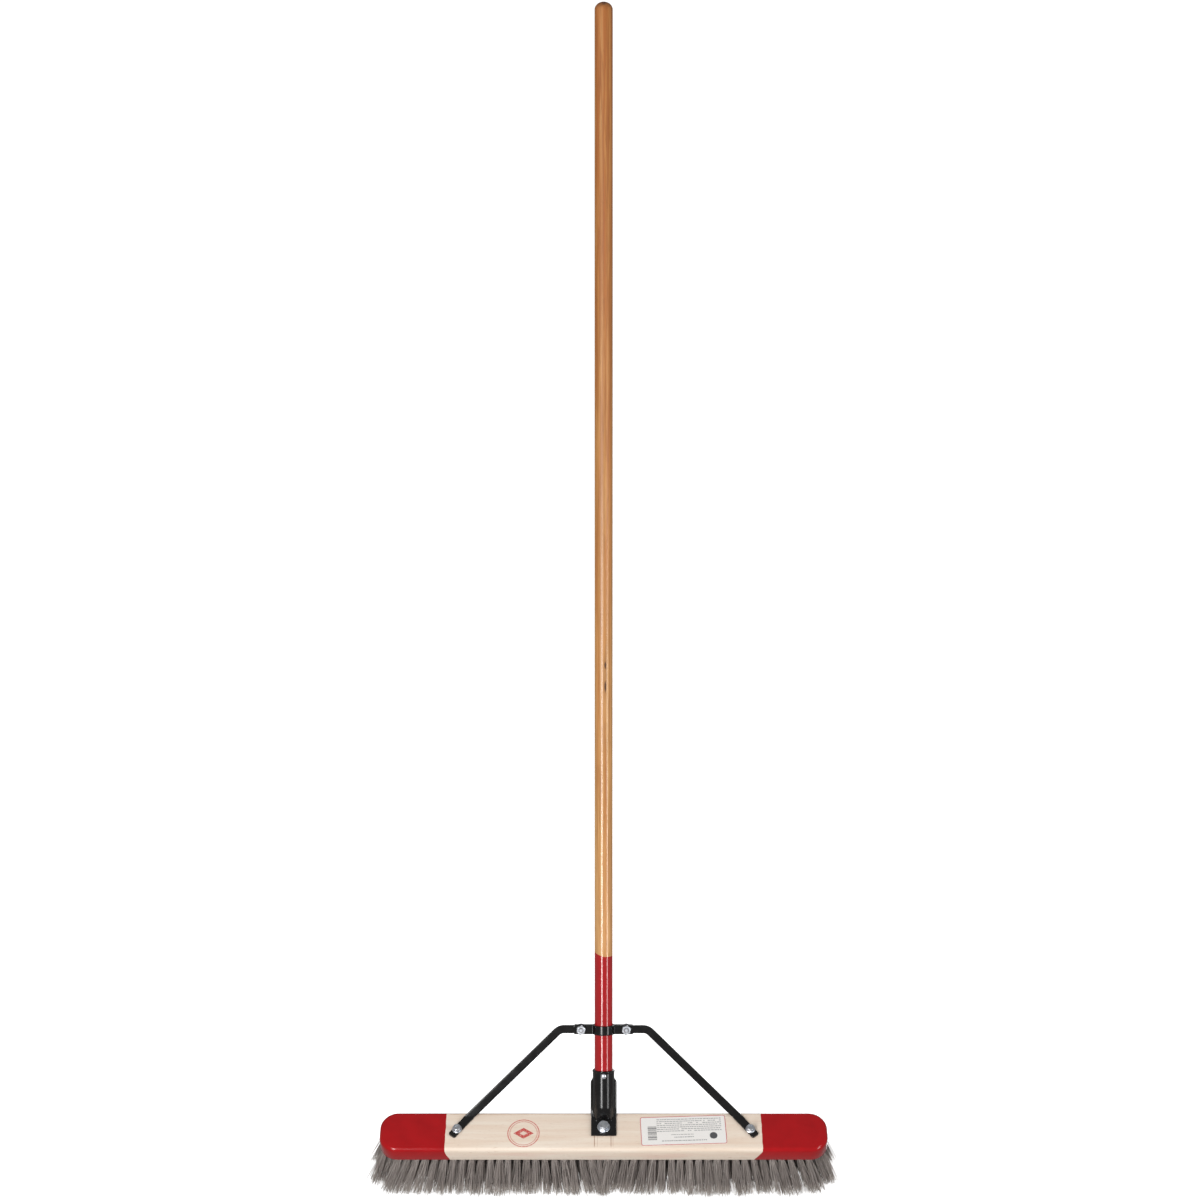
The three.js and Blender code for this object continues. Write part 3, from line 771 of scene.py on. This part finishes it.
# ------------------------------------------------------------------ clamp
def strap_path():
    """The strap's middle line from ear to ear in the plane across the handle, as (x, outwards)."""
    middle = SOCKET_BORE + CLAMP_SHEET / 2
    ear = SHEET / 2 + FIT + CLAMP_SHEET / 2
    fillet = 2.6 * MM
    reach = middle + fillet
    fillet_x = math.sqrt(reach ** 2 - (ear + fillet) ** 2)
    turn = math.degrees(math.atan2(ear + fillet, fillet_x))
    straight = CLAMP_SPAN - EAR_CORNER
    right = [(straight + c, ear) for c, _ in arc((0, 0), EAR_CORNER, 8, 90, 6)]
    right += [(fillet_x + (straight - fillet_x) * i / 8, ear) for i in range(7, 0, -1)]
    right += arc((fillet_x, ear + fillet), fillet, 270, 180 + turn, 8)
    over = arc((0, 0), middle, turn, 180 - turn, 40)[1:-1]
    left = [(-x, outwards) for x, outwards in reversed(right)]
    return right + over + left


def strap_part(facing):
    """facing is 1 for the front strap and -1 for the back one."""
    path = strap_path()
    section = bar_section(CLAMP_WIDTH, CLAMP_SHEET, 0.5 * MM)
    rings = []
    for i, (x, outwards) in enumerate(path):
        before, after = Vector(path[max(i - 1, 0)]), Vector(path[min(i + 1, len(path) - 1)])
        along = (after - before).normalized()
        normal = Vector((-along.y, along.x))
        overhang = max(0.0, abs(x) - (CLAMP_SPAN - EAR_CORNER))
        reach = CLAMP_WIDTH / 2 - EAR_CORNER + math.sqrt(EAR_CORNER ** 2 - overhang ** 2)
        scale = reach / (CLAMP_WIDTH / 2)
        ring = []
        for across, thick in section:
            place = Vector((x, outwards)) + normal * thick
            ring.append(Vector((place.x, -place.y * facing, CLAMP_AT + across * scale)))
        rings.append(ring if facing > 0 else list(reversed(ring)))
    return loft(rings)


def clamp_strap(name, facing):
    piece(f"strap_{name}", strap_part(facing), "steel", [f"clamp_{name}_strap"], STEM)


# ------------------------------------------------------------------ fasteners
def hexagon(across_flats, height, segments=72):
    """A hexagon with its upper corners turned off to a cone, from z = 0 up."""
    flat = across_flats / 2
    crown = flat * 0.93
    sides, brims, bases = [], [], []
    for i in range(segments):
        angle = 2 * math.pi * i / segments
        to_flat = (angle + math.pi / 6) % (math.pi / 3) - math.pi / 6
        radius = min(flat / math.cos(to_flat), flat * 1.13)
        direction = Vector((math.cos(angle), math.sin(angle), 0))
        drop = (radius - crown) * math.tan(math.radians(30))
        bases.append(direction * (radius - 0.15 * MM))
        sides.append(direction * radius + Vector((0, 0, 0.15 * MM)))
        brims.append(direction * radius + Vector((0, 0, height - drop)))
    tops = [Vector((p.x, p.y, 0)).normalized() * crown + Vector((0, 0, height)) for p in sides]
    return loft([bases, sides, brims, tops])


def threaded(radius, low, high, pitch=1.1 * MM):
    """A threaded rod's turned outline with a chamfered upper end."""
    profile = [(0, low), (radius, low)]
    depth = 0.3 * MM
    z = low + pitch
    while z < high - pitch:
        profile += [(radius, z), (radius - depth, z + pitch * 0.45), (radius, z + pitch * 0.9)]
        z += pitch
    profile += [(radius - depth, high - 0.4 * MM), (radius - depth - 0.5 * MM, high), (0, high)]
    return turned(profile, 40)


def washer(inner, outer, height):
    edge = 0.25 * MM
    profile = [(inner, 0), (outer - edge, 0), (outer, edge), (outer, height - edge), (outer - edge, height),
               (inner + edge, height), (inner, height - edge)]
    return turned(profile, 64)


def fastener(name, part, nodes, matrix):
    piece(name, part, "zinc", nodes, matrix, sharp=28)


def nut(across_flats, height, bore):
    return cut(hexagon(across_flats, height), cylinder(bore, -MM, 9 * MM))


def screw_dome(radius, height, lift):
    """Profile of a domed head whose rim is lifted off its seat."""
    dome = [(radius * c, height * s + lift) for c, s in arc((0, 0), 1, 0, 80, 9)]
    return dome + [(0, height + lift)]


def screw_shank(radius, length, top):
    """A wood screw's plain shank with a point."""
    return turned([(0, -length), (radius, -length + 3 * MM), (radius, top), (0, top)], 24)


def socket_fasteners():
    """The hex bolt through flange and block, its nut in the counterbore, and a washer under each."""
    across_flats = 12.7 * MM
    radius = 3.95 * MM
    sheet = 1.5 * MM
    seat = TOP + SHEET + 2 * FIT
    ring = washer(4.25 * MM, 8.75 * MM, sheet)
    shank = threaded(radius, UNDERSIDE + MM - seat, 0)
    neck = cylinder(radius, -5 * MM, 2 * MM)
    head = moved(hexagon(across_flats, 5.3 * MM), shift(0, 0, sheet + FIT))
    at_bolt = shift(0, SOCKET_BOLT_Y, seat)
    turn = Matrix.Rotation(0.26, 4, "Z")
    fastener("hex_bolt", merged(head, shank, neck), ["socket_bolt"], at_bolt @ turn)
    fastener("hex_bolt_washer", ring, ["socket_bolt_washer"], at_bolt)
    under = UNDERSIDE + COUNTERBORE - FIT
    at_nut = shift(0, SOCKET_BOLT_Y, under - sheet - FIT) @ UPSIDE_DOWN
    fastener("nut_under_block", nut(across_flats, 6.4 * MM, 4.1 * MM), ["block_nut"], at_nut)
    fastener("nut_washer", ring, ["block_nut_washer"], shift(0, SOCKET_BOLT_Y, under - sheet))


def handle_screw():
    seat = SOCKET_RADIUS + 0.2 * MM
    arm, half = 2.1 * MM, 0.45 * MM  # of the cross in the head
    low, high = 1.2 * MM, 4 * MM
    head = turned([(0, 0), (3.55 * MM, 0), *screw_dome(3.75 * MM, 2.1 * MM, 0.3 * MM)])
    slots = [box_part((-x, -y, low), (x, y, high)) for x, y in ((arm, half), (half, arm))]
    head = cut(head, *slots)
    place = STEM @ shift(0, -seat, 60.6 * MM) @ FACING_FRONT
    shank = screw_shank(2 * MM, 18 * MM, 0.5 * MM)
    fastener("pan_head_screw", merged(head, shank), ["handle_screw"], place)


def clamp_fasteners(name, side):
    """A carriage bolt with its round head at the back and its hex nut at the front."""
    place = STEM @ shift(side * CLAMP_BOLT_X, 0, CLAMP_AT) @ FACING_FRONT
    seat = SHEET / 2 + CLAMP_SHEET + 2 * FIT
    height = 5.5 * MM
    head = turned([(0, 0), (6.8 * MM, 0), *screw_dome(7 * MM, 3.1 * MM, 0.4 * MM)])
    head = moved(moved(head, shift(0, 0, seat)), UPSIDE_DOWN)
    shank = moved(threaded(3.1 * MM, 0, seat + height + 2 * MM + seat), shift(0, 0, -seat))
    fastener(f"clamp_carriage_bolt_{name}", merged(head, shank), [f"clamp_bolt_{name}"], place)
    at_nut = place @ shift(0, 0, seat) @ Matrix.Rotation(0.35 + 0.5 * side, 4, "Z")
    fastener(f"clamp_hex_nut_{name}", nut(11.1 * MM, height, 3.25 * MM), [f"clamp_nut_{name}"], at_nut)


def foot_screw(name, side):
    """A hex screw with a formed washer and a dished head."""
    low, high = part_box(f"brace_screw_{name}")
    middle = (low + high) / 2
    seat = TOP + SHEET + 2 * FIT
    rim = [(0, 0), (6.6 * MM, 0), (6.75 * MM, 0.3 * MM), (6.6 * MM, 0.8 * MM), (5.6 * MM, 1.4 * MM)]
    rim = turned(rim + [(0, 1.4 * MM)], 56)
    dish = turned([(0, 0), (2.2 * MM, 0), (2.8 * MM, 2 * MM), (0, 2 * MM)])
    crown = cut(hexagon(9.5 * MM, 4.2 * MM), moved(dish, shift(0, 0, 3.5 * MM)))
    crown = moved(crown, shift(0, 0, 1.1 * MM))
    shank = screw_shank(2.4 * MM, 15 * MM, MM)
    place = shift(middle.x, middle.y, seat) @ Matrix.Rotation(0.3 * side, 4, "Z")
    fastener(f"hex_washer_screw_{name}", merged(rim, crown, shank), [f"brace_screw_{name}"], place)


# ------------------------------------------------------------------ label
def rounded_plate(width, height, corner, low, high):
    outline = rounded_rectangle(width / 2, height / 2, corner, 5)
    return loft([[Vector((x, y, z)) for x, y in outline] for z in (low, high)])


def frame_plate(width, height, corner, line, low, high):
    """A thin rounded rectangular line as a raised band."""
    outer = rounded_plate(width, height, corner, low, high)[0]
    inner = rounded_plate(width - 2 * line, height - 2 * line, corner - line * 0.8, low, high)[0]
    count = len(outer) // 2
    rings = [outer[:count], outer[count:], inner[count:], inner[:count]]
    faces = []
    for r in range(4):
        this, following = r * count, (r + 1) % 4 * count
        for i in range(count):
            j = (i + 1) % count
            faces.append((this + i, this + j, following + j, following + i))
    return [p for ring in rings for p in ring], faces


def label():
    """The paper sheet with a thin red border, and marks that lie on it."""
    place = shift(*LABEL_AT) @ Matrix.Rotation(LABEL_TURN, 4, "Z")
    sheet = rounded_plate(LABEL_WIDTH, LABEL_HEIGHT, LABEL_CORNER, 0, LABEL_SHEET)
    piece("label_sheet", sheet, "paper", ["label"], place)
    low, high = LABEL_SHEET - 0.02 * MM, LABEL_SHEET + 0.04 * MM
    inset = 0.6 * MM
    border = frame_plate(LABEL_WIDTH - inset, LABEL_HEIGHT - inset, 2.8 * MM, 0.8 * MM, low, high)
    piece("label_border", border, "red_ink", [], place)
    bars, dashes = label_print(low, high)
    piece("label_bars", merged(*bars), "dark_ink", [], place)
    piece("label_dashes", merged(*dashes), "grey_ink", [], place)


def label_print(low, high):
    """Meaningless marks in millimetres from the sheet's middle: stacked bars, a disc and rows of dashes."""
    draw = random.Random(7)

    def mark(x, y, width, height):
        return box_part((x * MM, y * MM, low), ((x + width) * MM, (y + height) * MM, high))

    bars, dashes = [], []
    y = -14.0
    while y < 7.0:
        bar = draw.choice((0.35, 0.6, 0.9))
        bars.append(mark(-48.5, y, 12.0, bar))
        y += bar + draw.choice((0.5, 0.7, 1.0))
    disc = [Vector((40.5 * MM + x, -9.5 * MM + y, 0)) for x, y in arc((0, 0), 5.2 * MM, 0, 348, 29)]
    bars.append(loft([[p + Vector((0, 0, z)) for p in disc] for z in (low, high)]))
    rows = [(17.4 - 3.1 * i, -36.0, 52.0, 1.2, 0.93) for i in range(7)]
    rows += [(-7.0, -17.0, 14.0, 1.0, 0.95), (-11.2, -13.0, 14.0, 1.3, 1.0)]
    rows += [(-16.8, -30.0, 31.0, 1.4, 1.0)]
    for row_y, start, end, tall, fill in rows:
        x = start
        while x < end:
            word = min(draw.uniform(1.2, 4.4), end - x)
            if word > 0.8 and draw.random() < fill:
                dashes.append(mark(x, row_y, word, tall))
            x += word + draw.uniform(0.5, 0.9)
    return bars, dashes


# ------------------------------------------------------------------ bristles
PITCH = 12.3 * MM
ROOT_STEP, TIP_STEP = 12 * MM, 16.5 * MM
HOLE_MARGIN = 6.5 * MM  # from the middle of a tuft's hole to the block's outline
FAN_SCALE = 284 * MM
FAN_REACH = 30 * MM  # how far the end tufts splay outwards
GATHER = 12.6 * MM  # how far the tufts beside the socket lean inwards
BOLT_CLEARANCE = 12.8 * MM
ROOT_RADIUS = 3.2 * MM
TIP_HALF = (13.5 * MM, 13 * MM)
LENGTH = 76 * MM  # of a fibre below the block
FIBRES = 104
CLUMPS = 7
POINTS = 7  # along one fibre


def spread(x):
    """How far a tuft's tip lies outward of its root, as in the CAD rows."""
    out = abs(x)
    share = out / FAN_SCALE
    fanned = FAN_REACH * share ** 3 / (1 + 0.3 * share ** 18)
    rise = 1 - math.exp(-((out / (10 * MM)) ** 2))
    decay = math.exp(-((out / (65 * MM)) ** 4))
    return math.copysign(1, x) * (fanned - GATHER * rise * decay)


def tuft_places(row):
    """Where a row's tufts stand: evenly spaced, clear of the bolt and of the block's rounded ends."""
    centre_x, centre_y = BLOCK_HIGH.x - BLOCK_CORNER, BLOCK_HIGH.y - BLOCK_CORNER
    beyond = max(0.0, abs(row) * ROOT_STEP - centre_y)
    end = centre_x + math.sqrt(max(0.0, (BLOCK_CORNER - HOLE_MARGIN) ** 2 - beyond ** 2))
    places = []
    x = PITCH / 2 if row % 2 == 0 else 0.0
    while x <= end:
        if math.hypot(x, row * ROOT_STEP) >= BOLT_CLEARANCE:
            places += [x, -x] if x > 0 else [x]
        x += PITCH
    return sorted(places)


def disc_points(count, generator):
    radius = np.sqrt(generator.random(count))
    angle = generator.random(count) * 2 * math.pi
    return np.stack([radius * np.cos(angle), radius * np.sin(angle)], axis=1)


def fibre_ends(x, row, generator):
    """Where one tuft's fibres start and end, and how far each strays from the tuft's own lean."""
    root = disc_points(FIBRES, generator)
    clump = generator.integers(0, CLUMPS, FIBRES)
    clump_centre = disc_points(CLUMPS, generator) * 0.75
    own = disc_points(FIBRES, generator)
    tip = (0.3 * root + 0.36 * clump_centre[clump] + 0.5 * own) * TIP_HALF
    lean = np.array([spread(x), row * (TIP_STEP - ROOT_STEP)]) + generator.normal(0, 1.4 * MM, 2)
    astray = tip - root * ROOT_RADIUS
    away = astray + lean
    # The rows are trimmed level and then fan out, so a fibre that leans ends higher.
    length = LENGTH - 0.3 * MM - abs(generator.normal(0, 0.9 * MM))
    length = length - abs(generator.normal(0, 1.5 * MM, FIBRES))
    drop = np.sqrt(length ** 2 - (away ** 2).sum(axis=1))
    hole = np.array([x, row * ROOT_STEP])
    start = np.column_stack([hole + root * ROOT_RADIUS, np.full(FIBRES, UNDERSIDE + 3 * MM)])
    end = np.column_stack([start[:, :2] + away, UNDERSIDE - drop])
    return start, end, astray


def tuft_fibres(x, row, generator):
    """Paths of one tuft's fibres, (fibres, points, 3), their tints and their radii."""
    start, end, astray = fibre_ends(x, row, generator)
    t = np.linspace(0, 1, POINTS)[None, :, None]
    paths = start[:, None, :] * (1 - t) + end[:, None, :] * t
    # A tuft fans out soon below its hole, and each fibre has its own slight wave.
    paths[:, :, :2] += astray[:, None, :] * (t ** 0.7 - t)
    bends = generator.uniform(0.8, 2.2, (FIBRES, 1, 1))
    wave = generator.normal(0, 0.6 * MM, (FIBRES, 1, 2)) * np.sin(t * math.pi * bends)
    paths[:, :, :2] += wave * t
    tint = np.clip(0.5 + generator.normal(0, 0.1) + generator.normal(0, 0.17, FIBRES), 0, 1)
    thick = generator.uniform(0.3, 0.44, FIBRES) * MM
    taper = 1 - 0.5 * np.linspace(0, 1, POINTS) ** 3
    return paths, tint, thick[:, None] * taper[None, :]


def fibre_mesh(name, paths, tints, radii):
    """Three-sided tubes along many paths, as one mesh with a tint on every vertex."""
    fibres, points = paths.shape[:2]
    angles = np.arange(3) * 2 * math.pi / 3 + np.random.random(fibres)[:, None] * 2
    ring = np.stack([np.cos(angles), np.sin(angles), np.zeros_like(angles)], axis=2)
    verts = paths[:, :, None, :] + ring[:, None, :, :] * radii[:, :, None, None]
    first = np.arange(fibres) * points * 3
    level = first[:, None, None] + (np.arange(points - 1) * 3)[None, :, None]
    a = level + np.arange(3)
    b = level + (np.arange(3) + 1) % 3
    # The paths run downwards, so the ring's order is turned to face outwards.
    quads = np.stack([b, a, a + 3, b + 3], axis=3)
    top_caps = first[:, None] + np.array([0, 1, 2])
    tip_caps = first[:, None] + (points - 1) * 3 + np.array([2, 1, 0])
    faces = quads.reshape(-1, 4).tolist() + top_caps.tolist() + tip_caps.tolist()
    mesh = bpy.data.meshes.new(name)
    mesh.from_pydata(verts.reshape(-1, 3).tolist(), [], faces)
    tint = mesh.attributes.new("tint", "FLOAT", "POINT")
    tint.data.foreach_set("value", np.repeat(tints, points * 3).astype(np.float32))
    mesh.shade_smooth()
    mesh.materials.append(MATERIALS["bristle"])
    return mesh


def bristle_row(index, row):
    """index counts the rows from the front, and row is 0 for the middle one."""
    generator = np.random.default_rng(100 + index)
    tufts = [tuft_fibres(x, row, generator) for x in tuft_places(row)]
    paths, tints, radii = (np.concatenate(group) for group in zip(*tufts))
    name = f"bristles_{index}"
    stand_in(name, fibre_mesh(name, paths, tints, radii), [f"bristle_row_{index}"])


# ------------------------------------------------------------------ studio
def floor():
    """A pale studio sweep: a level floor that curves up into a wall and closes as a dome."""
    reach, bend, height = 12.0, 4.0, 9.0
    profile = [(0, 0)] + arc((reach - bend, bend), bend, 270, 360, 10)
    profile += [(reach * c, height + reach * s) for c, s in arc((0, 0), 1, 0, 90, 12)[:-1]]
    profile.append((0, height + reach))
    mesh = mesh_of("floor", turned(profile, 64))
    mesh.shade_smooth()
    s = Shader("floor", base_color=(0.9, 0.9, 0.9, 1), roughness=0.9, specular_ior_level=0.0,
               emission_color=(1, 1, 1, 1), emission_strength=0.78)
    mesh.materials.append(s.material)
    obj = placed("floor", mesh)
    # The sweep neither colours nor blocks the light that falls on the broom.
    obj.visible_glossy = False
    obj.visible_diffuse = False
    obj.visible_shadow = False


def softbox(name, turn, distance, size, power):
    """A tall light parallel to the handle, turned about it from the camera's side, in degrees."""
    data = bpy.data.lights.new(name, "AREA")
    data.shape = "RECTANGLE"
    data.size, data.size_y = size
    data.energy = power
    direction = Matrix.Rotation(math.radians(turn), 3, UP_HANDLE) @ TO_FRONT
    middle = STEM_FOOT + UP_HANDLE * LIGHTS_UP_HANDLE
    across = UP_HANDLE.cross(direction).normalized()
    basis = Matrix((across, UP_HANDLE, direction)).transposed()
    placed(name, data).matrix_world = Matrix.Translation(middle + direction * distance) @ basis.to_4x4()


def studio():
    world = bpy.data.worlds.new("studio")
    world.use_nodes = True
    background = world.node_tree.nodes["Background"]
    background.inputs["Color"].default_value = (1, 1, 1, 1)
    background.inputs["Strength"].default_value = WORLD_LIGHT
    bpy.context.scene.world = world
    for name, (turn, distance, size, power) in SOFTBOXES.items():
        softbox(name, turn, distance, size, power)


def camera():
    """Square to the handle, aimed a little below its middle."""
    data = bpy.data.cameras.new("camera")
    data.sensor_width = 36
    data.lens = CAMERA_LENS
    data.clip_end = 50
    obj = placed("camera", data)
    aim = STEM_FOOT + UP_HANDLE * CAMERA_UP_HANDLE + Vector((-CAMERA_LEFT, 0, 0))
    basis = Matrix((Vector((1, 0, 0)), UP_HANDLE, TO_FRONT)).transposed()
    obj.matrix_world = Matrix.Translation(aim + TO_FRONT * CAMERA_DISTANCE) @ basis.to_4x4()
    bpy.context.scene.camera = obj


# ------------------------------------------------------------------ scene
camera()
studio()
floor()
bpy.context.scene.view_settings.view_transform = "Standard"

MATERIALS = {
    "handle": handle_material(),
    "block": block_material(),
    "steel": black_steel_material(),
    "zinc": zinc_material(),
    "paper": paper_material("label_paper", srgb(247, 244, 240)),
    "red_ink": paper_material("red_ink", srgb(200, 52, 52)),
    "dark_ink": paper_material("dark_ink", srgb(86, 86, 88)),
    "grey_ink": paper_material("grey_ink", srgb(166, 165, 164)),
    "bristle": bristle_material(),
}

handle()
handle_screw()
block()
socket_pressing()
socket_fasteners()
for facing_name, facing in (("front", 1), ("back", -1)):
    clamp_strap(facing_name, facing)
for side_name, side in (("left", -1), ("right", 1)):
    brace_arm(side_name, side)
    clamp_fasteners(side_name, side)
    foot_screw(side_name, side)
label()
for index in range(1, 6):
    bristle_row(index, index - 3)
